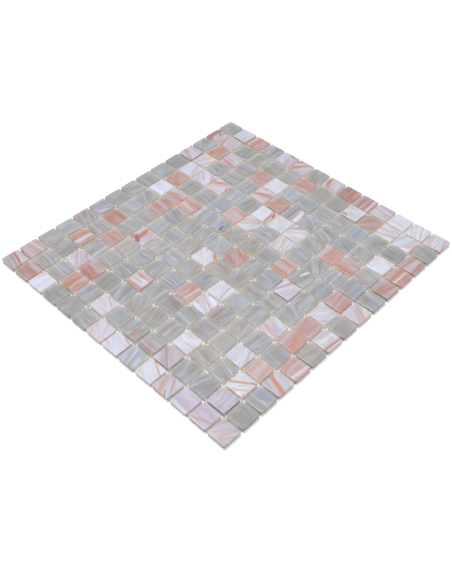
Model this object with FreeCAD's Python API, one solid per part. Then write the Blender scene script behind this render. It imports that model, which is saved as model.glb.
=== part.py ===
"""A sheet of pressed glass mosaic: square tiles in rows, glued by their backs to a net of flat threads.

Millimetres. The sheet lies flat with the faces of the tiles up. X runs along a row, Y across the
rows, and the origin is on the floor under the middle of the sheet.
"""
import FreeCAD, Part
import os

# The sheet
COLUMNS = 15                    # tiles in a row, along X
ROWS = 14                       # rows, along Y
COLUMN_GAP = 1.8                # gap between the faces of two tiles in a row
ROW_GAP = 1.8                   # gap between the faces of two rows

# One tile, pressed with its face wider than its back so that it leaves the mould
TILE_LENGTH = 20.0              # side of the face along a row, over its rounded rim
TILE_WIDTH = 20.0               # side of the face across the rows
TILE_THICKNESS = 4.0
DRAFT_WIDTH = 0.55              # how far each wall slopes in from the rim to the back
CORNER_CUT = 1.5                # leg of the worn corner at the rim
RIM_WIDTH = 0.6                 # width of the eased edge around the flat of the face
RIM_DROP = 0.4                  # how far the eased edge falls below the face

# The net behind the tiles: cross threads below, long threads on them, tiles on the long threads
THREAD_WIDTH = 0.9
LONG_THREAD_THICKNESS = 0.25
CROSS_THREAD_THICKNESS = 0.25
CROSS_THREAD_SPACING = 5.0      # distance between the cross threads, along X
LONG_THREAD_SPACING = 5.0       # distance between the long threads, along Y
NET_INSET = 1.2                 # how far the net stays inside the outer tiles' rims

# How the three kinds of glass are laid: a letter for each tile of a row, from the row at +Y down
GLASSES = {"g": "grey", "p": "pink", "w": "white"}
LAYING = (
    "wpgggggggggwgwg",
    "pggpgpggwpwwpww",
    "wgwgpggppgwgwgp",
    "gppggwggpgwgggg",
    "ggggggggggggpgw",
    "gwgwgggggpgwwgw",
    "wgggggwggwwpgpg",
    "wgggpggpggwgggw",
    "ggggwwgggwwgggp",
    "wwwgggggpggggwp",
    "wggggggwggpggpw",
    "wggwgwggggpggww",
    "wwwpgppwpggwgww",
    "wggwpgwgwgpppgw",
)

# Sizes that follow
PITCH_X = TILE_LENGTH + COLUMN_GAP
PITCH_Y = TILE_WIDTH + ROW_GAP
SHEET_X = COLUMNS * TILE_LENGTH + (COLUMNS - 1) * COLUMN_GAP
SHEET_Y = ROWS * TILE_WIDTH + (ROWS - 1) * ROW_GAP
NET_X = SHEET_X - 2 * NET_INSET
NET_Y = SHEET_Y - 2 * NET_INSET
LONG_THREAD_Z = CROSS_THREAD_THICKNESS
TILE_Z = LONG_THREAD_Z + LONG_THREAD_THICKNESS


def tile_ring(side_x, side_y, z):
    """The eight corners of a rectangle with its corners cut off, anticlockwise around the origin."""
    x, y = side_x / 2, side_y / 2
    corners = [
        (x - CORNER_CUT, -y), (x, -y + CORNER_CUT), (x, y - CORNER_CUT), (x - CORNER_CUT, y),
        (-x + CORNER_CUT, y), (-x, y - CORNER_CUT), (-x, -y + CORNER_CUT), (-x + CORNER_CUT, -y),
    ]
    return [FreeCAD.Vector(cx, cy, z) for cx, cy in corners]


def flat_face(corners):
    return Part.Face(Part.makePolygon(corners + corners[:1]))


def wall_band(lower, upper):
    """The flat faces between two rings, each from one edge up to the parallel edge above it."""
    count = len(lower)
    following = [(k, (k + 1) % count) for k in range(count)]
    return [flat_face([lower[a], lower[b], upper[b], upper[a]]) for a, b in following]


def make_tile():
    """One tile with its back on z = 0: walls that widen upwards, then the eased edge of the face."""
    back = tile_ring(TILE_LENGTH - 2 * DRAFT_WIDTH, TILE_WIDTH - 2 * DRAFT_WIDTH, 0)
    rim = tile_ring(TILE_LENGTH, TILE_WIDTH, TILE_THICKNESS - RIM_DROP)
    face = tile_ring(TILE_LENGTH - 2 * RIM_WIDTH, TILE_WIDTH - 2 * RIM_WIDTH, TILE_THICKNESS)
    faces = [flat_face(back)] + wall_band(back, rim) + wall_band(rim, face) + [flat_face(face)]
    tile = Part.Solid(Part.makeShell(faces))
    if tile.Volume < 0:
        tile.reverse()
    return tile


def tile_place(column, row):
    """Where the middle of a tile's back lies, counting columns from -X and rows from +Y, from 1."""
    x = (column - (COLUMNS + 1) / 2) * PITCH_X
    y = ((ROWS + 1) / 2 - row) * PITCH_Y
    return FreeCAD.Vector(x, y, TILE_Z)


def glass_of(column, row):
    """The kind of glass at a place; past the end of the laying chart it starts again."""
    letters = LAYING[(row - 1) % len(LAYING)]
    return GLASSES[letters[(column - 1) % len(letters)]]


def row_tiles(tile, row, glass):
    """The tiles of one kind of glass in one row."""
    columns = [c for c in range(1, COLUMNS + 1) if glass_of(c, row) == glass]
    return [tile.translated(tile_place(c, row)) for c in columns]


def spread(length, spacing):
    """Middles of threads across a length, at about the spacing, the outer two at its ends."""
    reach = length - THREAD_WIDTH
    gaps = max(1, round(reach / spacing))
    return [-reach / 2 + k * reach / gaps for k in range(gaps + 1)]


def long_threads():
    """The upper threads of the net, along X under the tiles."""
    start_x = -NET_X / 2
    return [
        Part.makeBox(NET_X, THREAD_WIDTH, LONG_THREAD_THICKNESS,
                     FreeCAD.Vector(start_x, y - THREAD_WIDTH / 2, LONG_THREAD_Z))
        for y in spread(NET_Y, LONG_THREAD_SPACING)
    ]


def cross_threads():
    """The lower threads of the net, along Y on the floor."""
    start_y = -NET_Y / 2
    return [
        Part.makeBox(THREAD_WIDTH, NET_Y, CROSS_THREAD_THICKNESS,
                     FreeCAD.Vector(x - THREAD_WIDTH / 2, start_y, 0))
        for x in spread(NET_X, CROSS_THREAD_SPACING)
    ]


def save(solids, name):
    """Writes the solids that share a node, if there are any."""
    if solids:
        Part.makeCompound(solids).exportStep(f"parts/{name}.step")


def main():
    os.makedirs("parts", exist_ok=True)
    tile = make_tile()
    for row in range(1, ROWS + 1):
        for glass in GLASSES.values():
            save(row_tiles(tile, row, glass), f"row_{row:02d}_{glass}_tiles")
    save(long_threads(), "net_long_threads")
    save(cross_threads(), "net_cross_threads")


main()
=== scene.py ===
import math

import bpy
import numpy as np
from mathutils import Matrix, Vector


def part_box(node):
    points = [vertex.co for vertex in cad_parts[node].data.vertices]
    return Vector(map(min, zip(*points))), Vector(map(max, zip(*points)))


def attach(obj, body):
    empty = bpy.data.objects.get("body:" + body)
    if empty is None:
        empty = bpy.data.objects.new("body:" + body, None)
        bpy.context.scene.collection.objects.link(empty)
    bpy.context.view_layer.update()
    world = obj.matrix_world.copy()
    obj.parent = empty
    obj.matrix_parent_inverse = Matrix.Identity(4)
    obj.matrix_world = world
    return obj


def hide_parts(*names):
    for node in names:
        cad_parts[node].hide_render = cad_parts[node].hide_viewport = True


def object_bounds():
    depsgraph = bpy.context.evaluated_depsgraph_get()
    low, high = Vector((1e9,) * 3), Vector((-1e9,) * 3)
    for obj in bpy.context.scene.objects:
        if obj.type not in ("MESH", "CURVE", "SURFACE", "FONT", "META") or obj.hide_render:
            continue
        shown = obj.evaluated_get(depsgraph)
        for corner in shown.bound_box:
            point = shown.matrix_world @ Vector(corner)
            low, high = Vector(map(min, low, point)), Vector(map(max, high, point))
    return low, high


# Looks of a glass mosaic sheet: tiles of three kinds of streaky pressed glass on a net of coated threads.
# Tiles are counted from the left corner of the picture: columns along +X, rows from +Y towards -Y, from 1.

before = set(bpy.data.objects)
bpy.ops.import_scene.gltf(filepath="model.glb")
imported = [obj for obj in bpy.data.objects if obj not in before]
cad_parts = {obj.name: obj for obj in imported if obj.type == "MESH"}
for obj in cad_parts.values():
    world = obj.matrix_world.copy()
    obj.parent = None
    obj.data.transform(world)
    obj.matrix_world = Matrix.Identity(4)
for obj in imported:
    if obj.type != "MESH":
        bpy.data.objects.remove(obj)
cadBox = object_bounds()

millimetre = 0.001

sheet = {
    "columns": 15,
    "rows": 14,
    "tileSide": 20.0,  # millimetres, over the rims, as in the frame
    "seed": 41,
}
random = np.random.default_rng(sheet["seed"])


# Colours as seen, turned into the linear values that shaders take
def seen(red, green, blue):
    values = np.array([red, green, blue])
    linear = np.where(values <= 0.04045, values / 12.92, ((values + 0.055) / 1.055) ** 2.4)
    return (*linear.tolist(), 1.0)


# Names of the vein colours with their stops on one ramp
tones = {
    "milk": (0.0, seen(0.93, 0.93, 0.96)),
    "slate": (0.14, seen(0.60, 0.60, 0.63)),
    "lilac": (0.28, seen(0.84, 0.77, 0.81)),
    "rose": (0.42, seen(0.81, 0.65, 0.635)),
    "salmon": (0.56, seen(0.82, 0.64, 0.58)),
    "coral": (0.63, seen(0.85, 0.59, 0.49)),
    "rust": (0.70, seen(0.80, 0.52, 0.42)),
    "wine": (0.84, seen(0.67, 0.43, 0.44)),
    "soot": (1.0, seen(0.24, 0.22, 0.20)),
}

# Veins and streaks by (row, column), read off the sheet. Each is tone, x, y, angle, half width,
# strength, half length, bend, in half sides of the tile from its middle; the last two can be left out.
veins = {
    (1, 1): [("rust", .22, 0, 76, .14, .85), ("milk", .6, .3, 72, .13, .6),
        ("slate", -.25, -.2, 76, .16, .5), ("rose", -.7, .1, 78, .2, .4)],
    (1, 2): [("salmon", -.15, .1, 92, .12, .6), ("milk", .35, 0, 97, .13, .5),
        ("salmon", .78, 0, 93, .12, .6), ("lilac", -.7, 0, 90, .25, .5)],
    (1, 5): [("rust", -.75, .3, 70, .18, .4, .7), ("rust", .45, -.45, 30, .13, .45, .6)],
    (1, 6): [("milk", -.2, -.62, -18, .1, .85, .8)],
    (1, 8): [("salmon", -.85, -.45, 0, .14, .5, .35)],
    (1, 9): [("lilac", .1, .2, 95, .15, .3, 1), ("slate", -.3, 0, 92, .2, .3)],
    (1, 11): [("slate", 0, -.3, 0, .5, .4), ("rust", -.7, -.1, 0, .3, .25, .5)],
    (1, 12): [("wine", -.35, .2, 65, .1, .45), ("rose", -.7, -.3, 70, .2, .5),
        ("lilac", .5, 0, 75, .3, .5)],
    (1, 14): [("wine", -.1, .66, -4, .32, .95), ("rust", -.75, .3, 45, .3, .9, .5),
        ("wine", .55, .2, 62, .12, .8, .6), ("rose", -.1, -.4, 12, .3, .5)],
    (1, 15): [("slate", .2, 0, 90, .3, .25)],
    (2, 1): [("wine", -.7, 0, 92, .14, .45), ("rust", .05, 0, 90, .28, .5), ("lilac", .6, 0, 86, .14, .7),
        ("salmon", -.3, 0, 90, .1, .4)],
    (2, 2): [("rust", -.55, .05, 88, .13, .45, .4)],
    (2, 3): [("wine", .1, -.25, 12, .25, .25)],
    (2, 4): [("coral", -.1, .6, 4, .34, .85), ("milk", .1, -.3, -6, .24, .75),
        ("salmon", 0, -.8, -5, .2, .6), ("wine", -.85, .3, 10, .2, .5, .3)],
    (2, 5): [("milk", -.4, .2, 85, .09, .2)],
    (2, 6): [("rust", -.75, 0, 88, .22, .9), ("rust", .22, 0, 92, .26, 1), ("wine", .48, .1, 92, .14, .7),
        ("lilac", .9, .3, 85, .12, .5)],
    (2, 8): [("milk", -.1, .3, 65, .1, .23)],
    (2, 10): [("rust", -.4, -.7, 30, .25, .7, .5), ("rust", .9, 0, 90, .15, .4),
        ("rust", 0, .2, 20, .6, .45)],
    (2, 11): [("salmon", .1, -.8, 20, .12, .35, .4)],
    (2, 12): [("salmon", -.1, .15, -25, .16, .35), ("rose", 0, -.7, -10, .15, .3)],
    (2, 13): [("rust", 0, .35, 0, .4, .7), ("slate", 0, -.75, 0, .25, .4)],
    (2, 14): [("wine", -.5, .85, 15, .18, .6), ("rose", .5, -.2, 10, .08, .3)],
    (2, 15): [("rose", .2, -.95, 0, .1, .4)],
    (3, 2): [("milk", -.2, .2, 90, .08, .23), ("milk", .25, 0, 92, .08, .2),
        ("rose", -.85, -.3, 90, .1, .35)],
    (3, 3): [("rose", .35, -.1, 52, .22, .55), ("rose", .7, -.5, 55, .12, .5),
        ("rose", -.3, -.8, 30, .15, .35), ("milk", .55, .1, 52, .06, .5)],
    (3, 4): [("milk", 0, -.75, 0, .17, .29), ("slate", 0, -.35, 0, .15, .35)],
    (3, 5): [("coral", 0, .3, 90, .3, .5, .9), ("slate", -.8, .3, 80, .15, .3)],
    (3, 7): [("milk", -.75, 0, 90, .1, .26), ("rose", .6, 0, 90, .3, .15)],
    (3, 8): [("rose", -.6, 0, 88, .25, .6), ("lilac", .15, 0, 84, .15, .5), ("wine", .6, .1, 80, .2, .45),
        ("wine", .9, .4, 95, .17, .9, .8)],
    (3, 9): [("rust", -.85, -.3, 110, .11, .55, .8), ("salmon", -.35, .1, 100, .08, .7),
        ("salmon", .1, .1, 97, .08, .8), ("lilac", .6, 0, 95, .35, .75)],
    (3, 10): [("slate", 0, .1, 0, .12, .4), ("rust", 0, -.55, 0, .1, .3)],
    (3, 11): [("rose", .6, -.5, 50, .2, .25)],
    (3, 13): [("rust", -.6, .2, 82, .16, .8, 3, .1), ("rose", -.85, 0, 90, .12, .5),
        ("milk", -.3, .2, 85, .07, .4)],
    (3, 14): [("slate", 0, -.3, 0, .1, .5), ("slate", 0, .3, 0, .08, .4), ("milk", 0, -.55, 0, .08, .2)],
    (3, 15): [("lilac", .1, .85, 0, .25, .8), ("rust", .1, .2, 0, .26, .9), ("rose", 0, -.5, 0, .35, .4)],
    (4, 1): [("slate", .05, 0, 90, .35, .5)],
    (4, 2): [("rust", .1, .05, 2, .2, .85), ("lilac", .1, -.38, 0, .12, .6), ("salmon", 0, .55, 0, .2, .5),
        ("rust", -.1, -.9, -6, .14, .7)],
    (4, 3): [("rust", -.65, 0, 85, .24, 1), ("rust", -.15, .15, 80, .2, .9), ("lilac", .5, .1, 80, .3, .5),
        ("wine", -.85, -.3, 88, .1, .9)],
    (4, 4): [("rose", .3, .75, 80, .12, .6, .35)],
    (4, 6): [("rust", -.1, .15, 0, .3, .6, .8), ("rust", -.6, .6, -45, .36, 1, .75),
        ("rust", .5, .35, 8, .24, 1, .8), ("wine", -.75, .1, 60, .25, 1, .5)],
    (4, 7): [("milk", .1, .25, 2, .1, .33), ("milk", .1, .68, 0, .26, .2)],
    (4, 9): [("milk", -.3, 0, 88, .13, .45), ("rust", -.8, -.1, 92, .14, .35),
        ("salmon", .4, 0, 90, .4, .2)],
    (4, 11): [("rust", .6, .1, -60, .2, .85), ("rose", 0, .1, -55, .1, .5),
        ("rust", .1, -.9, 15, .12, .7, .3), ("lilac", -.5, .5, -50, .1, .4)],
    (4, 12): [("slate", 0, 0, 88, .1, .45), ("milk", .3, 0, 88, .08, .2)],
    (4, 13): [("milk", .5, -.3, 90, .12, .29), ("slate", .15, 0, 90, .1, .35)],
    (4, 15): [("slate", 0, -.35, 0, .09, .4), ("milk", 0, .7, 0, .33, .13)],
    (5, 1): [("milk", -.3, -.5, -15, .2, .16)],
    (5, 2): [("slate", .1, .35, -8, .13, .45), ("milk", 0, -.1, -8, .09, .2)],
    (5, 3): [("slate", 0, 0, 5, 1, .4)],
    (5, 4): [("slate", .5, .2, 80, .15, .45), ("milk", 0, -.3, 85, .09, .23)],
    (5, 6): [("milk", -.4, .15, -15, .2, .36, .6), ("rose", -.3, .7, 10, .13, .5, .6)],
    (5, 7): [("milk", .3, 0, 90, .12, .23), ("slate", -.2, 0, 90, .1, .2)],
    (5, 8): [("rose", -.1, .45, 0, .15, .35), ("milk", 0, 0, 0, .26, .16)],
    (5, 9): [("milk", 0, .65, 0, .2, .35), ("slate", 0, .3, 0, .1, .3), ("rust", 0, -.65, 3, .13, .35)],
    (5, 10): [("milk", -.72, -.5, 80, .12, .6, .4)],
    (5, 11): [("milk", .2, -.1, 5, .2, .23)],
    (5, 13): [("rust", 0, 0, 90, .9, .35)],
    (5, 15): [("rose", -.6, -.4, 20, .3, .6, .55), ("wine", .8, -.35, 70, .25, .65, .6),
        ("rust", -.85, .5, 60, .1, .4, .4), ("lilac", 0, -.65, 0, .3, .6)],
    (6, 1): [("milk", -.05, -.5, 80, .13, .26, .4), ("slate", -.3, .2, 85, .1, .3)],
    (6, 2): [("lilac", -.5, 0, 75, .4, .2), ("rose", .5, -.3, 60, .11, .55),
        ("rose", .2, -.7, 60, .05, .4)],
    (6, 3): [("slate", .1, .65, 12, .08, .6), ("milk", .1, .45, 12, .07, .23)],
    (6, 4): [("rust", -.82, 0, 92, .2, .75), ("rust", .42, .35, 86, .15, .8, .8),
        ("rose", .5, -.3, 92, .22, .6), ("wine", 0, -.95, 0, .08, .5)],
    (6, 6): [("milk", -.1, 0, 80, .09, .26), ("slate", -.45, .2, 88, .15, .35)],
    (6, 7): [("rose", 0, .4, 0, .15, .3)],
    (6, 8): [("rust", .7, .35, 4, .16, .75, .42), ("milk", -.2, -.3, -10, .1, .25)],
    (6, 9): [("soot", -.35, -.42, 5, .1, .95, .42), ("soot", -.8, .12, -50, .06, .6, .25),
        ("milk", 0, .4, 0, .2, .15)],
    (6, 10): [("lilac", -.3, 0, 90, .55, .55), ("rust", .55, 0, 90, .12, .5)],
    (6, 12): [("rust", 0, .2, -74, .2, .85), ("wine", .3, -.3, -70, .16, .6, .9),
        ("milk", .12, .1, -74, .05, .5), ("rose", -.5, -.5, -80, .08, .3, .6)],
    (6, 14): [("milk", .3, 0, 88, .2, .23), ("slate", -.5, 0, 90, .1, .3)],
    (6, 15): [("rust", -.5, .65, -40, .28, 1, .7), ("rose", .2, .1, -35, .3, .7),
        ("wine", .75, .8, -20, .22, .8, .5), ("lilac", .3, -.4, -30, .3, .4)],
    (7, 1): [("rose", -.6, .6, 40, .09, .45), ("rose", 0, .5, 55, .06, .4, .6),
        ("lilac", .6, -.1, 20, .2, .4)],
    (7, 3): [("rose", 0, -.2, 30, .07, .4)],
    (7, 4): [("milk", 0, -.65, -5, .09, .39), ("slate", 0, -.5, -5, .05, .4)],
    (7, 5): [("slate", .1, .3, 90, .09, .5), ("milk", -.1, .2, 88, .07, .26)],
    (7, 6): [("rose", .3, -.55, 10, .25, .35)],
    (7, 7): [("rust", .7, -.75, 45, .24, 1, .5)],
    (7, 9): [("rust", -.3, .75, -15, .2, 1, .5)],
    (7, 10): [("rust", -.6, -.78, -35, .17, .75, .45), ("rose", .1, .3, -50, .06, .5),
        ("rose", .55, .3, -55, .16, .35)],
    (7, 11): [("rust", .1, -.68, 8, .2, .9), ("wine", .45, -.88, 12, .12, 1, .45)],
    (7, 12): [("rust", -.1, .2, -45, .5, .4), ("rose", .85, 0, 90, .12, .4),
        ("milk", -.2, -.2, -48, .05, .35)],
    (7, 13): [("slate", .1, -.25, 8, .06, .4)],
    (7, 14): [("coral", .3, 0, 90, .4, .55), ("lilac", -.75, 0, 92, .2, .6)],
    (8, 1): [("rust", .8, -.5, 70, .13, .6, .7)],
    (8, 2): [("rust", -.3, -.42, 0, .28, .65, .7), ("milk", -.7, .22, -15, .13, .45, .35),
        ("slate", 0, .3, -5, .15, .3)],
    (8, 3): [("rose", .5, -.8, 15, .08, .35)],
    (8, 4): [("slate", .35, 0, 90, .22, .5), ("wine", .4, 0, 92, .1, .35), ("milk", .78, 0, 90, .12, .35)],
    (8, 5): [("coral", .2, -.2, -5, .12, .7), ("milk", .2, -.52, -8, .14, .65),
        ("rose", .1, -.8, -5, .12, .5)],
    (8, 6): [("slate", -.2, .6, -3, .08, .45)],
    (8, 7): [("rust", -.1, 0, 90, .2, .2)],
    (8, 8): [("rust", .38, -.45, 64, .28, 1, .75, -.15), ("rust", 0, .75, 10, .25, .55),
        ("lilac", -.15, -.1, 48, .08, .6), ("milk", .8, 0, 60, .08, .5, .7, -.2)],
    (8, 10): [("slate", .3, 0, 88, .06, .45), ("milk", .1, 0, 88, .07, .23)],
    (8, 12): [("milk", -.1, -.62, 4, .24, .9, 1.15), ("milk", -.4, -.85, -8, .25, .8, .6),
        ("wine", -.1, .12, 0, .1, .9), ("slate", 0, .45, 0, .2, .5)],
    (8, 13): [("slate", .2, 0, 88, .5, .3)],
    (8, 14): [("slate", 0, 0, 88, .12, .3), ("rose", -.4, 0, 88, .1, .15)],
    (8, 15): [("rust", .25, .62, 4, .2, 1, .75, -.25), ("rust", -.6, .25, 60, .14, .7, .45),
        ("rose", -.85, -.3, 80, .12, .4), ("milk", .3, -.1, 40, .35, .3)],
    (9, 1): [("milk", -.4, 0, 20, .1, .33), ("milk", -.1, -.6, 15, .2, .29, .6)],
    (9, 2): [("rust", -.88, .1, 92, .1, .8), ("lilac", -.5, 0, 90, .12, .5),
        ("rose", -.1, -.2, 86, .16, .6), ("slate", .35, 0, 90, .08, .35)],
    (9, 3): [("rose", -.2, .6, 5, .07, .35), ("slate", 0, -.3, 10, .08, .3)],
    (9, 4): [("milk", -.45, 0, 80, .16, .33)],
    (9, 5): [("rust", .15, -.3, 65, .08, .55), ("rust", -.35, .75, 88, .1, .45, .4)],
    (9, 6): [("rust", -.1, -.48, 10, .08, .6, 3, -.1)],
    (9, 7): [("rust", .45, -.4, 8, .2, .5, .45), ("slate", 0, .1, 15, .1, .4)],
    (9, 8): [("milk", 0, .15, -5, .12, .23), ("slate", 0, -.35, 0, .1, .35)],
    (9, 9): [("slate", -.1, .3, 90, .4, .25)],
    (9, 10): [("rust", 0, .1, 25, .06, .5), ("rose", -.2, -.7, 30, .08, .5, .5),
        ("rose", .2, .9, 10, .08, .3), ("lilac", -.6, .4, 20, .2, .3)],
    (9, 11): [("rust", .65, .5, -50, .17, .8), ("slate", -.1, -.7, -5, .2, .15)],
    (9, 12): [("slate", -.2, .1, 60, .12, .4), ("milk", .1, -.3, 58, .08, .2)],
    (9, 14): [("slate", 0, 0, 90, 1, .3)],
    (9, 15): [("wine", 0, .62, 0, .16, .8), ("wine", 0, .28, 0, .1, 1), ("rust", .1, -.3, 3, .24, .9),
        ("salmon", 0, -.8, 0, .12, .4)],
    (10, 1): [("rust", .6, -.2, 65, .11, .55)],
    (10, 2): [("wine", -.35, .3, 48, .5, .25), ("wine", -.25, 0, 50, .06, .4),
        ("wine", 0, .35, 50, .06, .3), ("lilac", .5, -.5, 45, .3, .5)],
    (10, 3): [("rose", -.95, 0, 90, .08, .4)],
    (10, 4): [("rose", -.2, .3, 88, .12, .45), ("slate", .55, -.1, 88, .07, .55)],
    (10, 5): [("wine", 0, .45, -5, .25, .35), ("slate", 0, -.1, -5, .1, .2)],
    (10, 7): [("rust", -.8, .4, 85, .11, .6, .5), ("slate", -.3, 0, 88, .1, .25)],
    (10, 9): [("rust", -.7, 0, 90, .22, .75), ("lilac", -.15, 0, 88, .14, .5),
        ("rose", .3, .1, 85, .12, .5), ("lilac", .7, -.2, 80, .1, .6)],
    (10, 10): [("milk", -.4, 0, 75, .09, .2)],
    (10, 11): [("milk", -.2, -.4, 65, .13, .23)],
    (10, 12): [("milk", -.3, -.1, 70, .17, .33)],
    (10, 14): [("wine", -.68, .6, 80, .2, .65, .4)],
    (10, 15): [("wine", 0, .45, 0, .3, .45), ("wine", .1, -.35, 0, .16, .7), ("milk", .15, -.68, 0, .1, .8),
        ("rust", 0, -.95, 0, .08, .5)],
    (11, 1): [("rust", .2, -.4, 28, .1, .5, .8), ("wine", -.75, -.35, 38, .08, .65, .4),
        ("rust", -.5, -.85, 30, .1, .4, .5), ("rose", .2, .55, 22, .25, .45)],
    (11, 2): [("rose", -.1, .6, 5, .07, .4), ("slate", 0, -.1, 5, .08, .2)],
    (11, 3): [("milk", -.3, -.4, 82, .09, .29)],
    (11, 5): [("milk", .2, -.55, 8, .16, .23)],
    (11, 8): [("wine", .1, .55, -22, .12, .6), ("rose", .4, -.8, -20, .12, .5),
        ("lilac", .3, 0, 0, .5, .3)],
    (11, 9): [("milk", .5, .08, -15, .2, .7, .6), ("milk", .7, .05, -18, .12, .5, .35),
        ("slate", 0, -.3, -12, .08, .4)],
    (11, 10): [("milk", .2, 0, 40, .12, .23)],
    (11, 11): [("rust", .1, -.4, 0, .45, .6), ("lilac", .1, .65, 0, .3, .5)],
    (11, 13): [("slate", 0, .1, 3, .08, .35), ("milk", 0, -.3, 3, .08, .16)],
    (11, 14): [("rust", .6, .65, -40, .2, .6, .5)],
    (11, 15): [("rose", 0, 0, 82, .15, .5), ("slate", .55, .1, 85, .12, .3), ("rose", .82, 0, 85, .08, .4)],
    (12, 1): [("rose", -.5, 0, 88, .08, .5), ("lilac", .2, .5, 90, .4, .5)],
    (12, 2): [("milk", -.2, .4, -12, .06, .3), ("slate", 0, 0, -12, .2, .4),
        ("rust", -.2, -.7, -15, .15, .3)],
    (12, 3): [("milk", .35, -.3, 72, .08, .45), ("slate", .5, -.2, 72, .05, .5)],
    (12, 4): [("rose", .4, -.6, 25, .1, .6), ("salmon", -.3, -.3, 30, .06, .2)],
    (12, 5): [("slate", 0, .2, -3, .09, .4)],
    (12, 6): [("rose", -.45, .1, 75, .14, .6), ("rose", -.05, .2, 72, .07, .5),
        ("lilac", .4, 0, 75, .1, .5)],
    (12, 7): [("milk", .4, -.5, 60, .09, .2)],
    (12, 8): [("salmon", -.75, .75, 0, .14, .45, .35)],
    (12, 9): [("milk", 0, .45, 0, .12, .2)],
    (12, 10): [("milk", .1, -.15, 5, .1, .42)],
    (12, 11): [("rust", -.62, 0, 90, .32, .75), ("lilac", .2, 0, 88, .17, .75),
        ("rose", .75, -.1, 90, .15, .6)],
    (12, 13): [("slate", 0, .3, 5, .13, .45)],
    (12, 14): [("wine", -.45, -.1, 105, .12, .5), ("rust", .2, .4, 88, .1, .4, .4)],
    (13, 1): [("lilac", 0, 0, 80, 1, .35), ("rose", -.6, .2, 110, .14, .7),
        ("rose", .3, -.6, 75, .08, .4, .6)],
    (13, 2): [("slate", 0, -.25, 5, .07, .35), ("rose", .3, -.8, 5, .1, .4), ("lilac", 0, .4, 0, .4, .25)],
    (13, 3): [("rust", .15, .05, -55, .1, .85), ("wine", .7, -.8, -60, .1, .6, .3),
        ("rust", -.8, -.9, 0, .1, .6, .2)],
    (13, 4): [("milk", 0, 0, 8, 1.2, .4), ("coral", .1, .5, 12, .12, .55),
        ("coral", .2, -.65, 10, .16, .7)],
    (13, 5): [("slate", 0, 0, 90, .13, .35)],
    (13, 6): [("coral", .2, -.35, 5, .45, .7), ("rust", .3, -.7, 5, .1, .4),
        ("lilac", .2, .75, 15, .25, .6)],
    (13, 7): [("coral", 0, -.1, 10, .2, .4), ("lilac", .2, -.7, 10, .2, .5)],
    (13, 8): [("rose", 0, .4, -38, .05, .4), ("rose", .3, -.4, -40, .05, .35),
        ("salmon", -.4, 0, -38, .06, .3)],
    (13, 9): [("wine", -.2, .75, -8, .1, .7), ("lilac", 0, .35, 10, .1, .7), ("wine", .1, .05, 12, .06, .5),
        ("rust", .1, -.6, 12, .3, .65)],
    (13, 10): [("wine", -.6, .25, 0, .15, .35, .4), ("slate", .2, .5, -10, .1, .3)],
    (13, 11): [("milk", .2, 0, 88, .07, .29), ("milk", .5, 0, 88, .07, .2)],
    (13, 12): [("rose", .65, 0, 90, .12, .3)],
    (13, 13): [("rust", .9, 0, 90, .1, .35, .5)],
    (13, 14): [("rose", -.35, -.5, -42, .08, .6, .8)],
    (13, 15): [("rust", 0, -.35, 25, .08, .5)],
    (14, 1): [("salmon", -.3, .4, -38, .1, .4, .8), ("rose", -.8, -.4, 60, .13, .4, .5)],
    (14, 3): [("milk", -.2, 0, 90, .09, .39), ("slate", .1, 0, 90, .08, .35),
        ("rose", -.8, .2, 90, .1, .3)],
    (14, 4): [("coral", -.15, 0, 72, .24, 1), ("coral", -.4, -.7, 70, .12, .5, .4),
        ("lilac", .4, -.3, 70, .3, .3), ("slate", -.75, .2, 80, .2, .3)],
    (14, 5): [("lilac", 0, 0, 0, 1, .5), ("rust", 0, .5, 10, .14, .7), ("milk", .1, -.6, -3, .15, .7),
        ("rust", .1, -.92, 0, .08, .6)],
    (14, 6): [("slate", 0, .3, -8, .07, .35)],
    (14, 7): [("rust", 0, -.65, -5, .12, 1)],
    (14, 9): [("rose", -.2, 0, 62, .09, .5), ("salmon", .5, .2, 62, .09, .5)],
    (14, 10): [("slate", -.1, 0, 88, .13, .5), ("milk", .6, 0, 88, .2, .13)],
    (14, 11): [("rust", -.2, -.15, -5, .35, .5), ("lilac", .3, -.72, -10, .1, .65),
        ("lilac", .2, .7, 0, .25, .35)],
    (14, 12): [("rust", 0, .2, -2, .2, .85), ("milk", 0, -.25, -3, .09, .8),
        ("slate", .1, -.42, -3, .06, .6), ("rust", 0, -.75, 0, .2, .8)],
    (14, 13): [("wine", .3, .5, -12, .26, .5), ("lilac", -.2, -.1, -8, .34, .8),
        ("wine", .3, -.65, 5, .18, .55), ("lilac", -.6, .6, -12, .15, .4)],
    (14, 14): [("slate", .2, 0, 90, .5, .35)],
    (14, 15): [("rust", .4, -.75, 12, .08, .65), ("slate", 0, -.2, 5, .12, .25),
        ("salmon", 0, .1, 5, .08, .3)],
}
veinLayers = 4  # most veins in a tile
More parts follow.
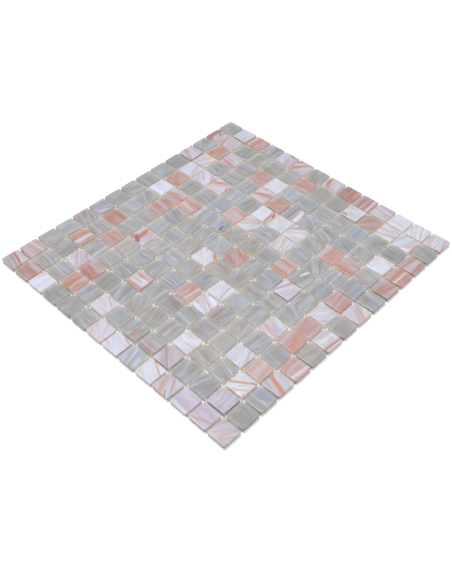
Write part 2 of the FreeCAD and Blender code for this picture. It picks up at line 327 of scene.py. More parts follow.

# Words for how a tile departs from the others of its glass. Each moves its light, how pale it is,
# its streaks' contrast, or its lean to cool, lilac or rose. The tiles they fit are given by row.
moods = {
    "dark": ("light", -0.11),
    "dim": ("light", -0.055),
    "light": ("light", 0.055),
    "bright": ("light", 0.11),
    "washed": ("pale", 0.05),
    "deep": ("pale", -0.05),
    "plain": ("contrast", -0.6),
    "lined": ("contrast", 0.5),
    "cool": ("cool", 0.8),
    "warm": ("cool", -0.9),
    "sandy": ("cool", -2.0),
    "lilac": ("lilac", 0.8),
    "rosy": ("rose", 0.7),
}
moodTiles = {
    "dark": {1: [1, 7, 11], 2: [3], 3: [14], 4: [1], 5: [1, 3, 14], 8: [4, 14], 9: [14, 15], 11: [14],
        13: [13], 14: [1]},
    "dim": {1: [1, 9, 12, 14], 2: [1, 6, 14], 3: [10, 13], 4: [3, 15], 5: [8, 10, 12], 6: [11, 15],
        7: [14, 15], 8: [4, 7, 8, 9, 15], 9: [11, 15], 10: [12, 15], 11: [15], 12: [2], 13: [1, 2],
        14: [2, 6, 8, 11, 14, 15]},
    "light": {1: [2], 2: [11], 3: [9, 11], 4: [9, 11], 5: [6, 7, 9, 11, 13], 6: [2, 7, 10, 13],
        7: [1, 6, 8], 8: [5, 12], 9: [3, 5, 6, 12], 10: [6, 7, 9, 10, 13, 14], 11: [8], 12: [3, 10, 14, 15],
        13: [8, 11, 14], 14: [5, 7, 9, 15]},
    "bright": {1: [4], 2: [7, 9], 3: [1], 4: [5], 6: [6], 7: [7, 11, 13], 8: [1, 11], 9: [1, 5, 11],
        10: [1, 3], 11: [4], 12: [4, 6], 13: [3, 12]},
    "washed": {1: [2, 3, 4, 13], 2: [5, 7, 8, 9], 3: [1, 5, 9], 4: [5, 6, 7, 10], 5: [5, 9, 11, 12],
        6: [2, 5, 6, 10, 13], 7: [1, 7, 8, 11, 13], 8: [11], 9: [1, 6, 10], 10: [1, 3, 6],
        11: [2, 4, 5, 6, 7, 13], 12: [5, 7, 8, 11, 15], 13: [3, 12, 15], 14: [15]},
    "deep": {1: [14], 2: [6, 14], 3: [5], 4: [2, 3], 5: [15], 7: [12, 14], 8: [15], 9: [15], 14: [2]},
    "plain": {2: [9, 14], 3: [1], 5: [3, 13], 6: [13], 7: [1, 7, 11], 8: [1, 11], 9: [6, 14],
        10: [1, 3, 14], 11: [14, 15], 12: [4, 15], 13: [7, 12], 14: [2, 4]},
    "lined": {3: [8, 9, 10, 14], 8: [10], 11: [2], 12: [3], 14: [13]},
    "cool": {1: [2, 3, 4, 10, 13, 14], 2: [1, 9, 13, 15], 3: [1, 9, 11], 4: [8], 5: [2, 9, 11, 13],
        6: [3, 9, 10, 13], 7: [5, 7, 8, 10, 11, 13], 8: [1, 15], 9: [1, 4, 5, 6, 7, 12], 10: [2, 3, 8, 14],
        11: [13], 12: [1, 4, 9, 15], 13: [1, 2, 3, 12], 14: [13]},
    "warm": {1: [8], 2: [3, 5, 12], 4: [5, 10, 14], 5: [1, 3, 5], 6: [7, 8], 7: [3, 4, 12, 14], 8: [5, 7],
        9: [10, 14], 11: [2, 4, 6, 7], 12: [12], 13: [6, 13], 14: [6, 8, 15]},
    "sandy": {5: [12], 8: [4, 7, 9], 11: [3]},
    "lilac": {1: [12], 3: [11], 4: [6], 5: [15], 7: [1], 10: [2], 11: [8], 12: [1], 13: [1, 2]},
    "rosy": {1: [1, 5, 14], 2: [14], 3: [3, 13], 4: [11], 6: [12, 15], 8: [15], 10: [5], 11: [1],
        14: [1, 9]},
}

# Tiles whose walls in the joints get painted shade, and how dark
wallShadeTiles = {(1, 12): 0.6, (2, 1): 0.3, (2, 4): 0.2, (2, 15): 0.6, (4, 3): 0.2, (6, 4): 0.4, (7, 12): 0.3,
    (8, 1): 0.5, (8, 2): 0.2, (8, 13): 0.2, (9, 2): 0.25, (9, 15): 0.2, (10, 2): 0.5, (10, 14): 0.5,
    (11, 1): 0.4, (11, 8): 0.5, (12, 1): 0.3, (12, 4): 0.25, (13, 1): 0.3, (13, 2): 0.75, (13, 9): 0.3,
    (13, 10): 0.3, (14, 3): 0.4, (14, 4): 0.4, (14, 6): 0.4, (14, 10): 0.4, (14, 11): 0.5,
    (14, 13): 0.3, (14, 14): 0.3}

# The three glasses: body from deep to pale with cool and blush streaks, how strongly veins show, the
# painted light on the walls in the joints and the painted glow that comes out of them, and the painted
# light on the edges of the face
glasses = {
    "grey": {
        "deep": seen(0.596, 0.593, 0.569), "pale": seen(0.737, 0.747, 0.777),
        "cool": seen(0.66, 0.668, 0.727), "blush": seen(0.685, 0.675, 0.655), "veining": 0.72,
        "wall": seen(0.96, 0.95, 0.91), "glow": seen(0.395, 0.385, 0.375), "lit": seen(0.88, 0.87, 0.86),
    },
    "pink": {
        "deep": seen(0.72, 0.575, 0.55), "pale": seen(0.80, 0.722, 0.722),
        "cool": seen(0.77, 0.69, 0.72), "blush": seen(0.77, 0.57, 0.50), "veining": 0.67,
        "wall": seen(0.96, 0.88, 0.83), "glow": seen(0.45, 0.37, 0.34), "lit": seen(0.83, 0.84, 0.82),
    },
    "white": {
        "deep": seen(0.755, 0.745, 0.79), "pale": seen(0.895, 0.90, 0.94),
        "cool": seen(0.815, 0.84, 0.905), "blush": seen(0.84, 0.765, 0.75), "veining": 0.88,
        "wall": seen(0.97, 0.93, 0.90), "glow": seen(0.45, 0.40, 0.38), "lit": seen(0.85, 0.81, 0.77),
    },
}

# Noises of the body: waves along and across the grain in half a side, step of the seed, detail, roughness
noises = {
    "drift": (0.9, 0.7, 0, 1.0, 0.5),
    "broad": (0.4, 1.7, 0, 2.0, 0.55),
    "fine": (0.5, 15.0, 3.7, 3.0, 0.55),
    "hue": (0.5, 1.9, 9.1, 1.5, 0.5),
}

# What all three glasses share
glass = {
    "streakDrift": 0.15,  # how far the streaks wander, in half sides
    "broad": 0.6,  # weight of the wide streaks
    "fine": 0.46,  # weight of the thin ones
    "half": 0.53,  # weighted sum that is half pale
    "span": 0.13,  # from there to all deep or all pale
    "hue": 0.49,  # noise at which neither cool nor blush shows
    "cool": (0.64, 0.75),  # noise at which cool is full, and its share
    "blush": (0.34, 0.7),
    "veinDrift": 0.22,  # how far the veins wander, in half sides
    "veinFray": 0.08,  # how far the thin streaks fray them
    "veinReach": 1.7,  # square of the scaled distance at which a vein is gone
    "veinStreaks": (0.3, 0.5),  # thin streaks in a vein: their middle and weight
    "pits": 900.0,  # to a metre
}

# What a unit of each mood adds to red, green and blue, as a share of them
leans = {
    "cool": (-0.04, 0, 0.05),
    "lilac": (-0.05, -0.10, -0.02),
    "rose": (0, -0.10, -0.11),
}

# Painted light at the edges of a face: where it starts and is full, in half sides from the middle, and its
# share
edges = {
    "farY": (0.35, 0.9, 0.15),
    "farX": (0.35, 0.9, 0.1),
    "nearY": (-0.65, -0.95, 0.09),
    "nearX": (-0.65, -0.95, 0.03),
    "corner": (1.4, 1.9, 0.4),
}
paintedFarCornerLight = seen(0.89, 0.89, 0.89)  # painted light on the face at its corner away from the camera
wallShare = 0.9  # of a joint's wall that is in the pale painted wall light colour
paintedWallShade = seen(0.40, 0.27, 0.26)  # painted shade: what the joint walls of the wallShadeTiles go to
paintedOuterShade = seen(0.975, 0.94, 0.90)  # painted shade: multiplies the body on the outer walls and on backs


# A socket in a material. An expression on sockets and numbers adds its Math nodes.
class Wire:
    def __init__(self, shader, socket):
        self.shader = shader
        self.socket = socket

    def maths(self, operation, *values):
        return self.shader.node("Math", {"operation": operation}, dict(enumerate(values)))

    def __add__(self, other):
        return self.maths("ADD", self, other)

    def __radd__(self, other):
        return self.maths("ADD", other, self)

    def __sub__(self, other):
        return self.maths("SUBTRACT", self, other)

    def __rsub__(self, other):
        return self.maths("SUBTRACT", other, self)

    def __mul__(self, other):
        return self.maths("MULTIPLY", self, other)

    def __rmul__(self, other):
        return self.maths("MULTIPLY", other, self)

    def __abs__(self):
        return self.maths("ABSOLUTE", self)


# The nodes of a material or of the world, with one method for every kind of node
class Shader:
    def __init__(self, owner):
        owner.use_nodes = True
        self.owner = owner
        self.nodes = owner.node_tree.nodes
        self.links = owner.node_tree.links
        self.nodes.clear()

    def node(self, kind, settings=None, sockets=None, out=0):
        made = self.nodes.new("ShaderNode" + kind)
        for name, value in (settings or {}).items():
            if name == "stops":
                self.setStops(made.color_ramp, value)
            else:
                setattr(made, name, value)
        for name, value in (sockets or {}).items():
            if isinstance(value, Wire):
                self.links.new(value.socket, made.inputs[name])
            else:
                made.inputs[name].default_value = value
        return Wire(self, made.outputs[out]) if made.outputs else None

    def setStops(self, ramp, stops):
        while len(ramp.elements) < len(stops):
            ramp.elements.new(1.0)
        for element, (position, colour) in zip(ramp.elements, stops):
            element.position = position
            element.color = colour

    def attribute(self, name):
        return self.node("Attribute", {"attribute_name": name}, out="Vector")

    def parts(self, vector):
        split = self.node("SeparateXYZ", None, {0: vector})
        return [Wire(self, output) for output in split.socket.node.outputs]

    def vector(self, x, y, z):
        return self.node("CombineXYZ", None, {0: x, 1: y, 2: z})

    def noise(self, place, scale, detail, roughness=0.5):
        sockets = {"Vector": place, "Scale": scale, "Detail": detail, "Roughness": roughness}
        return self.node("TexNoise", None, sockets)

    # 0 at or below low, 1 at or above high, a smooth step between
    def step(self, value, low, high):
        return self.node("MapRange", {"interpolation_type": "SMOOTHSTEP"},
                         {"Value": value, "From Min": low, "From Max": high})

    def mix(self, factor, first, second, blend="MIX"):
        return self.node("Mix", {"data_type": "RGBA", "blend_type": blend},
                         {0: factor, 6: first, 7: second}, out=2)

    # 1 where the camera, a reflection or glass looks, 0 where light is only gathered
    def looking(self):
        rays = self.node("LightPath").socket.node.outputs
        camera, glossy, through = (Wire(self, rays[f"Is {kind} Ray"])
                                   for kind in ("Camera", "Glossy", "Transmission"))
        return camera.maths("MAXIMUM", camera, camera.maths("MAXIMUM", glossy, through))

    def finish(self, surface, output="OutputMaterial"):
        self.node(output, None, {"Surface": surface})
        return self.owner


# Streaky glass. Two noises drawn out along the grain of each tile move its colour from deep to pale, and a
# third towards cool or blush. Veins lie over that, fading with the square of the distance from their curve.
# Light that comes in through the far walls is painted in, paling the face on that side, most in the far
# corner, and a little at its near edges. Joint walls get painted light, a painted glow and on some tiles
# painted shade; outer walls and backs get painted shade.
def glassMaterial(kind):
    look = glasses[kind]
    shader = Shader(bpy.data.materials.new(kind + "Glass"))
    along, across, seed = shader.parts(shader.attribute("grain"))
    light, contrast, pale = shader.parts(shader.attribute("look"))
    leaning = shader.parts(shader.attribute("mood"))
    # sides: joint walls, outer walls with backs, and how much painted shade the joint walls take
    inner, outer, dark = shader.parts(shader.attribute("sides"))
    placeX, placeY, corner = shader.parts(shader.attribute("place"))

    def streaks(name, sideways):
        wavesAlong, wavesAcross, apart, detail, roughness = noises[name]
        place = shader.vector(along * wavesAlong, sideways * wavesAcross, seed + apart)
        return shader.noise(place, 1.0, detail, roughness)

    def hueStep(name):
        full, share = glass[name]
        return shader.step(hue, glass["hue"], full) * contrast * share

    def edge(name, value):
        start, full, share = edges[name]
        return shader.step(value, start, full) * share

    # body
    drift = streaks("drift", across) - 0.5
    bent = across + drift * glass["streakDrift"]
    broad = streaks("broad", bent)
    fine = streaks("fine", bent)
    hue = streaks("hue", bent)
    weighed = broad * glass["broad"] + fine * glass["fine"] - glass["half"]
    paleness = shader.step(weighed * contrast + pale, -glass["span"], glass["span"])
    body = shader.mix(paleness, look["deep"], look["pale"])
    body = shader.mix(hueStep("cool"), body, look["cool"])
    body = shader.mix(hueStep("blush"), body, look["blush"])

    # veins
    middle, weight = glass["veinStreaks"]
    shown = look["veining"] + (fine - middle) * weight
    for layer in range(veinLayers):
        away, onward, bend = shader.parts(shader.attribute(f"vein{layer}"))
        strength, tone, sharpness = shader.parts(shader.attribute(f"veinLook{layer}"))
        wander = (drift + (fine - 0.5) * glass["veinFray"]) * sharpness * glass["veinDrift"]
        distance = abs(away - bend * onward * onward + wander)
        taper = abs(onward * onward * onward)
        cover = shader.step(distance * distance + taper, glass["veinReach"], 0.0) * strength
        colour = shader.node("ValToRGB", {"stops": list(tones.values())}, {0: tone})
        body = shader.mix(cover * shown, body, colour)

    # mood, painted light on the face's edges, painted light and shade on the walls
    tint = []
    for channel in range(3):
        share = 1
        for wire, changes in zip(leaning, leans.values()):
            share = share + wire * changes[channel]
        tint.append(light * share)
    body = shader.mix(1.0, body, shader.vector(*tint), "MULTIPLY")
    far = edge("farY", placeY) + edge("farX", placeX)
    near = edge("nearY", placeY) + edge("nearX", placeX)
    body = shader.mix(far + near, body, look["lit"])
    body = shader.mix(edge("corner", placeX + placeY), body, paintedFarCornerLight)
    # Painted light and shade on the walls: joint walls are painted pale, as if lit through the glass, or
    # painted dark where they look shaded; outer walls and backs get a painted shade
    paintedGapWall = shader.mix(dark, shader.mix(wallShare, body, look["wall"]), paintedWallShade)
    body = shader.mix(outer, body, shader.mix(1.0, body, paintedOuterShade, "MULTIPLY"))
    body = shader.mix(inner, body, paintedGapWall)

    # finish
    pits = shader.noise(shader.node("TexCoord", out="Object"), glass["pits"], 2.0)
    relief = fine * 0.5 + pits * 0.5
    # Painted glow: emission on the joint walls, stronger where joints cross, stands in for light through
    # the glass
    paintedGlow = inner * (1 - dark * 0.9) * (1 + corner)
    surface = shader.node("BsdfPrincipled", None, {
        "Base Color": body,
        "Roughness": 0.16 + fine * 0.12 + inner * 0.3 + outer * 0.2,
        "Normal": shader.node("Bump", None, {"Strength": 0.12, "Distance": 0.00015, "Height": relief}),
        "IOR": 1.5,
        "Emission Color": shader.mix(paintedGlow, (0, 0, 0, 1), look["glow"]),
        "Emission Strength": 1.0,
    })
    return shader.finish(surface)


tile = {
    "side": 19.95,  # millimetres
    "sideSpread": 0.1,
    "corner": 1.3,  # radius of the corners seen from above
    "cornerSpread": 0.3,
    "leastCorner": 0.3,  # the least, on the face and the back
    "thinner": 0.05,  # than the CAD tile, at the most
    "rim": 0.6,  # width of the rounded edge of the face
    "rimDrop": 0.38,
    "rimWall": 0.15,  # share of the wall's look, with its painted light and shade, at the foot of the rim
    "draft": 0.45,  # how far the walls slope in towards the back
    "backEdge": 0.25,
    "ribs": 7,  # pressed ribs across the back
    "ribDepth": 0.28,
    "pillow": 0.07,  # how far the face sinks from its middle to its rim
    "ripple": 0.035,  # uneven pressing of the face
    "waves": (0.18, 0.34),  # of that, radians to a millimetre
    "shift": 0.10,  # how far a tile was laid out of its place
    "turn": 0.35,  # degrees
    "tilt": 0.22,  # degrees
}
ribCells = 2 * tile["ribs"]
depthCells = 3
rimCells = 3
cornerCells = 3
cornerShare = 0.24  # of half a grid line, for a corner patch
straightShare = 1 - cornerShare
tileTop = cadBox[1][2] / millimetre
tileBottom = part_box("net_long_threads")[1].z / millimetre


# A square grid drawn onto a square with round corners: in each corner patch the distance from the patch's
# inner corner becomes the larger of the two offsets, so that its outer sides fall on a quarter circle
def roundSquare(u, v, halfX, halfY, radius):
    insideX = np.clip(np.abs(u) - (halfX - radius), 0, None)
    insideY = np.clip(np.abs(v) - (halfY - radius), 0, None)
    reach = np.hypot(insideX, insideY)
    pull = np.where(reach > 1e-9, np.maximum(insideX, insideY) / np.maximum(reach, 1e-9), 1.0)
    corner = (insideX > 0) & (insideY > 0)
    x = np.where(corner, np.sign(u) * (halfX - radius + insideX * pull), u)
    y = np.where(corner, np.sign(v) * (halfY - radius + insideY * pull), v)
    return x, y


# Grid lines from -1 to 1: close together in the corner patches, and even between them
def gridLines(middleCells):
    corner = straightShare + cornerShare * np.arange(1, cornerCells + 1) / cornerCells
    middle = np.linspace(-straightShare, straightShare, middleCells + 1)
    return np.concatenate([-corner[::-1], middle, corner])


# Grid lines on a tile's own size: the corner patches as wide as its corners' radius, the rest even
def spreadLines(line, halfSide, radius):
    size = np.abs(line)
    inner = size / straightShare * (halfSide - radius)
    outer = halfSide - radius + (size - straightShare) / cornerShare * radius
    return np.sign(line) * np.where(size > straightShare, outer, inner)


# Numbers of the grid's border points, once around
def borderOf(countX, countY):
    grid = np.arange(countX * countY).reshape(countY, countX)
    return np.concatenate([grid[0, :-1], grid[:-1, -1], grid[-1, :0:-1], grid[:0:-1, 0]])


# Quads of a grid of countX by countY points, anticlockwise seen from above
def gridQuads(countX, countY):
    grid = np.arange(countX * countY).reshape(countY, countX)
    return np.stack([grid[:-1, :-1], grid[:-1, 1:], grid[1:, 1:], grid[1:, :-1]], -1).reshape(-1, 4)


# Quads between rings of points that lie one under the other, in order from the first ring down
def ringQuads(rings):
    quads = []
    for upper, lower in zip(rings[:-1], rings[1:]):
        quads.append(np.stack([upper, lower, np.roll(lower, -1), np.roll(upper, -1)], 1))
    return np.concatenate(quads)


# Whole tiles at once. The face is a round-cornered grid that falls away from its middle, the rim a quarter
# of an ellipse down to the wall, which slopes in by the draft, and the back is a grid with waves of ribs.
def tileShapes(count):
    half = tile["side"] / 2 + random.uniform(-1, 1, (2, count, 1)) * tile["sideSpread"] / 2
    radius = tile["corner"] + random.uniform(-1, 1, (count, 1)) * tile["cornerSpread"]
    thickness = tileTop - tileBottom - random.uniform(0, tile["thinner"], (count, 1))
    phase = random.uniform(0, 2 * math.pi, (3, count, 1))
    waves = random.uniform(*tile["waves"], (3, count, 1))
    lineX = gridLines(ribCells)
    lineY = gridLines(depthCells)
    gridX, gridY = (grid.ravel() for grid in np.meshgrid(lineX, lineY))
    border = borderOf(len(lineX), len(lineY))
    everything = np.arange(gridX.size)

    def layer(inset, pick):
        halfX, halfY = half - inset
        turn = np.maximum(radius - inset, tile["leastCorner"])
        u = spreadLines(gridX[pick], halfX, turn)
        v = spreadLines(gridY[pick], halfY, turn)
        return roundSquare(u, v, halfX, halfY, turn)

    def faceHeight(x, y):
        edge = np.maximum(np.abs(x) / half[0], np.abs(y) / half[1])
        dome = -tile["pillow"] * edge ** 4
        ripple = np.sin(waves[0] * x + phase[0]) * np.sin(waves[1] * y + phase[1])
        slant = np.sin(waves[2] * (x + y) + phase[2])
        return thickness + dome + tile["ripple"] * (ripple + slant - 2) / 2

    # layers of points: x, y, z, how far they are wall, how far they are back
    x, y = layer(tile["rim"], everything)
    face = (x, y, faceHeight(x, y), 0.0, 0.0)
    rings = []
    for step in range(1, rimCells + 1):
        angle = step / rimCells * math.pi / 2
        x, y = layer(tile["rim"] * (1 - math.sin(angle)), border)
        drop = tile["rimDrop"] * (1 - math.cos(angle))
        rings.append((x, y, faceHeight(x, y) - drop, tile["rimWall"] * step / rimCells, 0.0))
    top = thickness - tile["rimDrop"]
    low = tile["backEdge"]
    for share in (0.5, 1.0):
        x, y = layer(tile["draft"] * share, border)
        rings.append((x, y, top + (low - top) * share + 0 * x, 1.0, 0.0))
    x, y = layer(tile["draft"] + tile["backEdge"], everything)
    rib = np.abs(np.arange(-ribCells / 2, ribCells / 2 + 1) % 2 - 1)
    ribLine = np.concatenate([np.ones(cornerCells), rib, np.ones(cornerCells)])
    ribZ = np.tile(ribLine, len(lineY)) * tile["ribDepth"]
    back = (x, y, ribZ + 0 * x, 1.0, 1.0)

    pieces = [face, *rings, back]
    xs, ys, zs = (np.concatenate([p[axis] for p in pieces], 1) for axis in range(3))
    walls, backs = (np.concatenate([np.full(p[0].shape[1], p[part]) for p in pieces]) for part in (3, 4))

    faceQuads = gridQuads(len(lineX), len(lineY))
    starts = gridX.size + np.arange(len(rings) + 1) * len(border)
    around = [start + np.arange(len(border)) for start in starts[:-1]]
    sides = ringQuads([border, *around, starts[-1] + border])
    quads = np.concatenate([faceQuads, sides, starts[-1] + faceQuads[:, ::-1]])
    return xs, ys, zs, walls, backs, quads


# Where the tiles lie, read from the frame: one at each pitch along a row's node that has points there
def tilePlaces(kind):
    places = []
    low, high = cadBox
    side = sheet["tileSide"] * millimetre
    pitch = (high[0] - low[0] - side) / (sheet["columns"] - 1)
    for row in range(1, sheet["rows"] + 1):
        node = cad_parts.get(f"row_{row:02d}_{kind}_tiles")
        if node is None:
            continue
        points = meshPoints(node)
        columns = np.unique(np.floor((points[:, 0] - low[0]) / pitch + 1e-6).astype(int)) + 1
        middleY = (points[:, 1].min() + points[:, 1].max()) / 2
        for column in columns:
            middleX = low[0] + side / 2 + (column - 1) * pitch
            places.append((row, int(column), middleX / millimetre, middleY / millimetre))
    return places


def meshPoints(node):
    points = np.zeros(len(node.data.vertices) * 3)
    node.data.vertices.foreach_get("co", points)
    return points.reshape(-1, 3)


# One mesh from points, faces and named point attributes
def makePiece(name, points, faces, attributes, material, slot):
    mesh = bpy.data.meshes.new(name)
    mesh.from_pydata(points.tolist(), [], faces)
    for key, values in attributes.items():
        layer = mesh.attributes.new(key, "FLOAT_VECTOR", "POINT")
        layer.data.foreach_set("vector", np.ascontiguousarray(values, dtype=np.float32).ravel())
    mesh.polygons.foreach_set("use_smooth", np.ones(len(faces), dtype=bool))
    mesh.materials.append(material)
    mesh.update()
    piece = bpy.data.objects.new(name, mesh)
    bpy.context.scene.collection.objects.link(piece)
    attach(piece, "root")
    return piece


# How each vein reads on the points of its tile: distance across it over its half width, place along it over
# its half length, and its bend in the same measure
def veinOn(x, y, entry):
    tone, middleX, middleY, angle, width, strength = entry[:6]
    length = entry[6] if len(entry) > 6 else 3
    bend = entry[7] if len(entry) > 7 else 0
    turn = math.radians(angle)
    onward = (x - middleX) * math.cos(turn) + (y - middleY) * math.sin(turn)
    away = (y - middleY) * math.cos(turn) - (x - middleX) * math.sin(turn)
    bends = np.full_like(x, bend * length ** 2 / width)
    return np.stack([away / width, onward / length, bends], -1), (strength, tones[tone][0], 1 / width)


# Chance in each tile: middle and spread
chance = {
    "light": (0.98, 0.018),
    "contrast": (1.15, 0.15),
    "cool": (0, 0.45),
    "lilac": (0, 0.12),
    "rose": (0, 0.08),
}
grainSpread = 6  # degrees
noVein = 9.0  # scaled distance at which no vein shows
outerEdge = 0.8  # in half sides, where a tile's walls count as its outer ones


# How a tile departs from the others of its glass: a little by chance, and by the words that fit it
def moodOf(row, column):
    mood = {name: middle + random.normal(0, spread) for name, (middle, spread) in chance.items()}
    mood.update(pale=0, lilac=abs(mood["lilac"]), rose=abs(mood["rose"]))
    for word, rows in moodTiles.items():
        if column in rows.get(row, []):
            key, change = moods[word]
            mood[key] += change
    return mood


# Which of a tile's walls lie on the outside of the sheet
def outside(u, v, row, column):
    left = (column == 1) & (u < -outerEdge)
    right = (column == sheet["columns"]) & (u > outerEdge)
    near = (row == sheet["rows"]) & (v < -outerEdge)
    far = (row == 1) & (v > outerEdge)
    return left | right | near | far


# What the glass reads on each point: its grain, look and mood, the walls it is on, its place and its veins
def tileLooks(places, u, v, walls, backs):
    grain, look, mood, sides = np.zeros((4, *u.shape, 3))
    curves, veinLooks = np.zeros((2, veinLayers, *u.shape, 3))
    curves[..., 0] = noVein
    for k, (row, column, _, _) in enumerate(places):
        entries = veins.get((row, column), [])
        loose = random.choice([0, 90]) + random.normal(0, grainSpread)
        direction = math.radians(entries[0][3] if entries else loose)
        own = moodOf(row, column)
        outer = np.maximum(outside(u[k], v[k], row, column), backs) * walls
        grain[k, :, 0] = u[k] * math.cos(direction) + v[k] * math.sin(direction)
        grain[k, :, 1] = v[k] * math.cos(direction) - u[k] * math.sin(direction)
        grain[k, :, 2] = random.uniform(0, 90)
        look[k] = (own["light"], own["contrast"], own["pale"])
        mood[k] = [own[name] for name in leans]
        # dark: how much painted shade goes on this tile's joint walls
        dark = np.full_like(walls, wallShadeTiles.get((row, column), 0))
        sides[k] = np.stack([walls - outer, outer, dark], -1)
        for layer, entry in enumerate(entries[:veinLayers]):
            curves[layer, k], veinLooks[layer, k] = veinOn(u[k], v[k], entry)
    # crossing also raises the painted glow on the joint walls
    crossing = np.clip(np.abs(u * v) * 4 - 2.8, 0, 1)  # 1 on the corners, where joints cross
    attributes = {"grain": grain, "look": look, "mood": mood, "sides": sides,
                  "place": np.stack([u, v, crossing], -1)}
    for layer in range(veinLayers):
        attributes[f"vein{layer}"] = curves[layer]
        attributes[f"veinLook{layer}"] = veinLooks[layer]
    return attributes


# The tiles laid in their places, each a little turned, tilted and shifted, and kept within the sheet's box
def layTiles(places, xs, ys, zs):
    count = len(places)
    turn = np.radians(random.normal(0, tile["turn"] / 2, (count, 1)))
    tiltX = np.radians(random.normal(0, tile["tilt"] / 2, (count, 1)))
    tiltY = np.radians(random.normal(0, tile["tilt"] / 2, (count, 1)))
    shift = random.uniform(-tile["shift"], tile["shift"], (2, count, 1))
    centreX, centreY = np.array(places).T[2:, :, None]
    lean = zs / (tileTop - tileBottom) * (xs * np.tan(tiltX) + ys * np.tan(tiltY))
    x = centreX + shift[0] + xs * np.cos(turn) - ys * np.sin(turn)
    y = centreY + shift[1] + xs * np.sin(turn) + ys * np.cos(turn)
    z = tileBottom + zs + lean - np.abs(lean).max(axis=1, keepdims=True)
    z = np.maximum(z, tileBottom)
    points = np.stack([x, y, z], -1).reshape(-1, 3) * millimetre
    return np.clip(points, np.array(cadBox[0]), np.array(cadBox[1]))


def makeTiles(kind):
    places = tilePlaces(kind)
    xs, ys, zs, walls, backs, quads = tileShapes(len(places))
    half = tile["side"] / 2
    attributes = tileLooks(places, xs / half, ys / half, walls, backs)
    points = layTiles(places, xs, ys, zs)
    faces = (quads + np.arange(len(places))[:, None, None] * xs.shape[1]).reshape(-1, 4).tolist()
    piece = makePiece(kind + "Tiles", points, faces, attributes, glassMaterial(kind), kind + "_glass")
    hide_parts(*sorted({f"row_{row:02d}_{kind}_tiles" for row, _, _, _ in places}))
    print(kind, "tiles:", len(places), "quads:", len(faces))


net = {
    "threadWidth": 0.9,  # millimetres
    "swing": 0.5,  # how far the two yarns of a long thread cross over, in half widths
    "yarnWidth": 0.5,  # as a share of the thread's
    "crossShift": 0.04,
    "yarnSides": 4,  # of their sections
    "crossSides": 6,
    "dull": seen(0.82, 0.815, 0.79),
    "bright": seen(0.95, 0.945, 0.925),
}


# Coated thread: off-white with the turns of its fibres showing as slanted lines along it
def threadMaterial():
    shader = Shader(bpy.data.materials.new("coatedThread"))
    along, around, seed = shader.parts(shader.attribute("twist"))
    lines = shader.noise(shader.vector(along * 3.0 + around * 2.0, around * 6.0, seed), 1.0, 2.0)
    surface = shader.node("BsdfPrincipled", None, {
        "Base Color": shader.mix(lines, net["dull"], net["bright"]),
        "Roughness": 0.45 + lines * 0.15,
        "Normal": shader.node("Bump", None, {"Strength": 0.4, "Distance": 0.0001, "Height": lines}),
    })
    return shader.finish(surface)


# Middles of the threads of one net node, read from the frame
def threadMiddles(node, axis):
    values = np.unique(np.round(meshPoints(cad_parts[node])[:, axis], 6))
    return (values[0::2] + values[1::2]) / 2


# Tubes carried along lines of middles. Each section is an oval, side times cosine plus height times sine,
# and the end sections are faces. Faces point outwards where side, height and the way along the line make a
# right-handed set.
def tubes(middle, side, height, sections):
    count, stations = middle.shape[:2]
    angle = np.arange(sections) / sections * 2 * math.pi
    oval = np.cos(angle)[:, None] * np.array(side) + np.sin(angle)[:, None] * np.array(height)
    points = middle[:, :, None, :] + oval
    one = np.arange(stations * sections).reshape(stations, sections)
    after = np.roll(one, -1, 1)
    quads = np.stack([one[:-1], after[:-1], after[1:], one[1:]], -1).reshape(-1, 4)
    ends = np.stack([one[0, ::-1], one[-1]])
    starts = np.arange(count)[:, None, None] * stations * sections
    faces = (quads + starts).reshape(-1, 4).tolist() + (ends + starts).reshape(-1, sections).tolist()
    return points, faces


def makeThreads(name, points, faces, axis, material, node):
    count, _, sections, _ = points.shape
    twist = np.zeros(points.shape)
    twist[..., 0] = points[..., axis] / millimetre
    twist[..., 1] = np.abs(np.arange(sections) / sections * 2 - 1)
    twist[..., 2] = np.arange(count)[:, None, None]
    low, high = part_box(node)
    flat = np.clip(points.reshape(-1, 3), np.array(low), np.array(high))
    piece = makePiece(name, flat, faces, {"twist": twist}, material, "backing_net")
    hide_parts(node)
    print(name, "faces:", len(faces))


def makeNet():
    material = threadMaterial()
    lowCross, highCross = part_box("net_cross_threads")
    lowLong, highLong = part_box("net_long_threads")
    crossX = threadMiddles("net_cross_threads", 0)
    longY = threadMiddles("net_long_threads", 1)
    halfWidth = net["threadWidth"] / 2 * millimetre
    halfHeight = (highCross.z - lowCross.z) / 2

    # cross threads: straight
    stations = np.array([lowCross.y, highCross.y])
    middle = np.zeros((len(crossX), len(stations), 3))
    middle[..., 0] = crossX[:, None] + random.normal(0, net["crossShift"], (len(crossX), 1)) * millimetre
    middle[..., 1] = stations
    middle[..., 2] = (lowCross.z + highCross.z) / 2
    points, faces = tubes(middle, (-halfWidth, 0, 0), (0, 0, halfHeight), net["crossSides"])
    makeThreads("netCrossThreads", points, faces, 1, material, "net_cross_threads")

    # long threads: two yarns that change sides between the cross threads
    stations = np.linspace(lowLong.x, highLong.x, 2 * (len(crossX) - 1) + 1)
    swing = np.cos(np.arange(len(stations)) / 2 * math.pi) * net["swing"]
    yarns = []
    for side in (1, -1):
        middle = np.zeros((len(longY), len(stations), 3))
        middle[..., 0] = stations
        middle[..., 1] = longY[:, None] + side * swing * halfWidth
        middle[..., 2] = (lowLong.z + highLong.z) / 2
        yarns.append(middle)
    middle = np.concatenate(yarns)
    yarnSide = (0, halfWidth * net["yarnWidth"], 0)
    points, faces = tubes(middle, yarnSide, (0, 0, halfHeight), net["yarnSides"])
    makeThreads("netLongThreads", points, faces, 0, material, "net_long_threads")


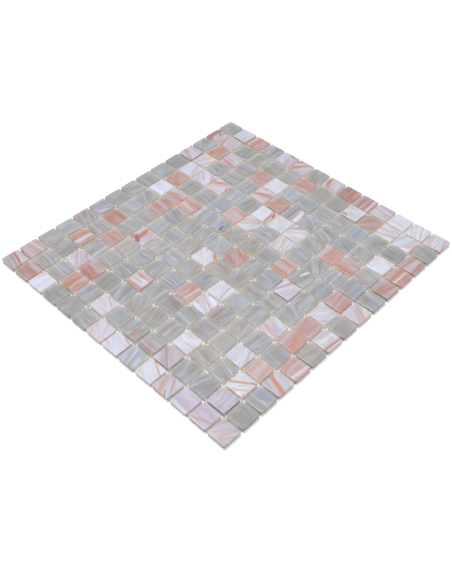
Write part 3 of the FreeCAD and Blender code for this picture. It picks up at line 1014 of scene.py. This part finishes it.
# Pale floor: it keeps the sheet's shadow, and where it is looked at it is lifted to white
def makeFloor():
    side = 3.0
    corners = [(-side, -side, 0), (side, -side, 0), (side, side, 0), (-side, side, 0)]
    mesh = bpy.data.meshes.new("floor")
    mesh.from_pydata(corners, [], [(0, 1, 2, 3)])
    shader = Shader(bpy.data.materials.new("paleFloor"))
    diffuse = shader.node("BsdfDiffuse", None, {"Color": (0.86, 0.86, 0.86, 1)})
    lift = shader.looking() * 0.28
    glow = shader.node("Emission", None, {"Color": (1, 1, 1, 1), "Strength": lift})
    mesh.materials.append(shader.finish(shader.node("AddShader", None, {0: diffuse, 1: glow})))
    floor = bpy.data.objects.new("floor", mesh)
    bpy.context.scene.collection.objects.link(floor)


skyLight = 0.3  # strength of the white all around as light; where it is looked at it is 1
lamps = {  # where each sun stands, its angle in degrees, its strength
    "keyLight": ((0.13, 0.32, 1.0), 18, 1.75),
    "fillLight": ((-0.6, -0.5, 0.8), 60, 0.5),
}


# Puts a lamp or the camera in its place, looking along a line
def standing(name, data, place, line):
    holder = bpy.data.objects.new(name, data)
    holder.location = place
    holder.rotation_euler = line.to_track_quat("-Z", "Y").to_euler()
    bpy.context.scene.collection.objects.link(holder)
    return holder


def makeLight():
    studio = Shader(bpy.data.worlds.new("studio"))
    strength = skyLight + studio.looking() * (1 - skyLight)
    sky = studio.node("Background", None, {"Color": (1, 1, 1, 1), "Strength": strength})
    bpy.context.scene.world = studio.finish(sky, "OutputWorld")
    for name, (place, angle, power) in lamps.items():
        lamp = bpy.data.lights.new(name, "SUN")
        lamp.angle = math.radians(angle)
        lamp.energy = power
        standing(name, lamp, place, -Vector(place))


picture = {
    "eye": (-0.38557, -0.36804, 0.51411),  # metres
    "aim": (-0.04201, -0.03732, 0.0045),
    "lens": 59.42,  # millimetres
    "filmWidth": 36.0,
}


def makeCamera():
    scene = bpy.context.scene
    camera = bpy.data.cameras.new("camera")
    camera.sensor_fit = "HORIZONTAL"
    camera.sensor_width = picture["filmWidth"]
    camera.lens = picture["lens"]
    camera.clip_start = 0.01
    line = Vector(picture["aim"]) - Vector(picture["eye"])
    scene.camera = standing("camera", camera, picture["eye"], line)
    scene.view_settings.view_transform = "Standard"


makeCamera()
makeLight()
makeFloor()
print("camera, light and floor are set")
for kind in glasses:
    makeTiles(kind)
makeNet()
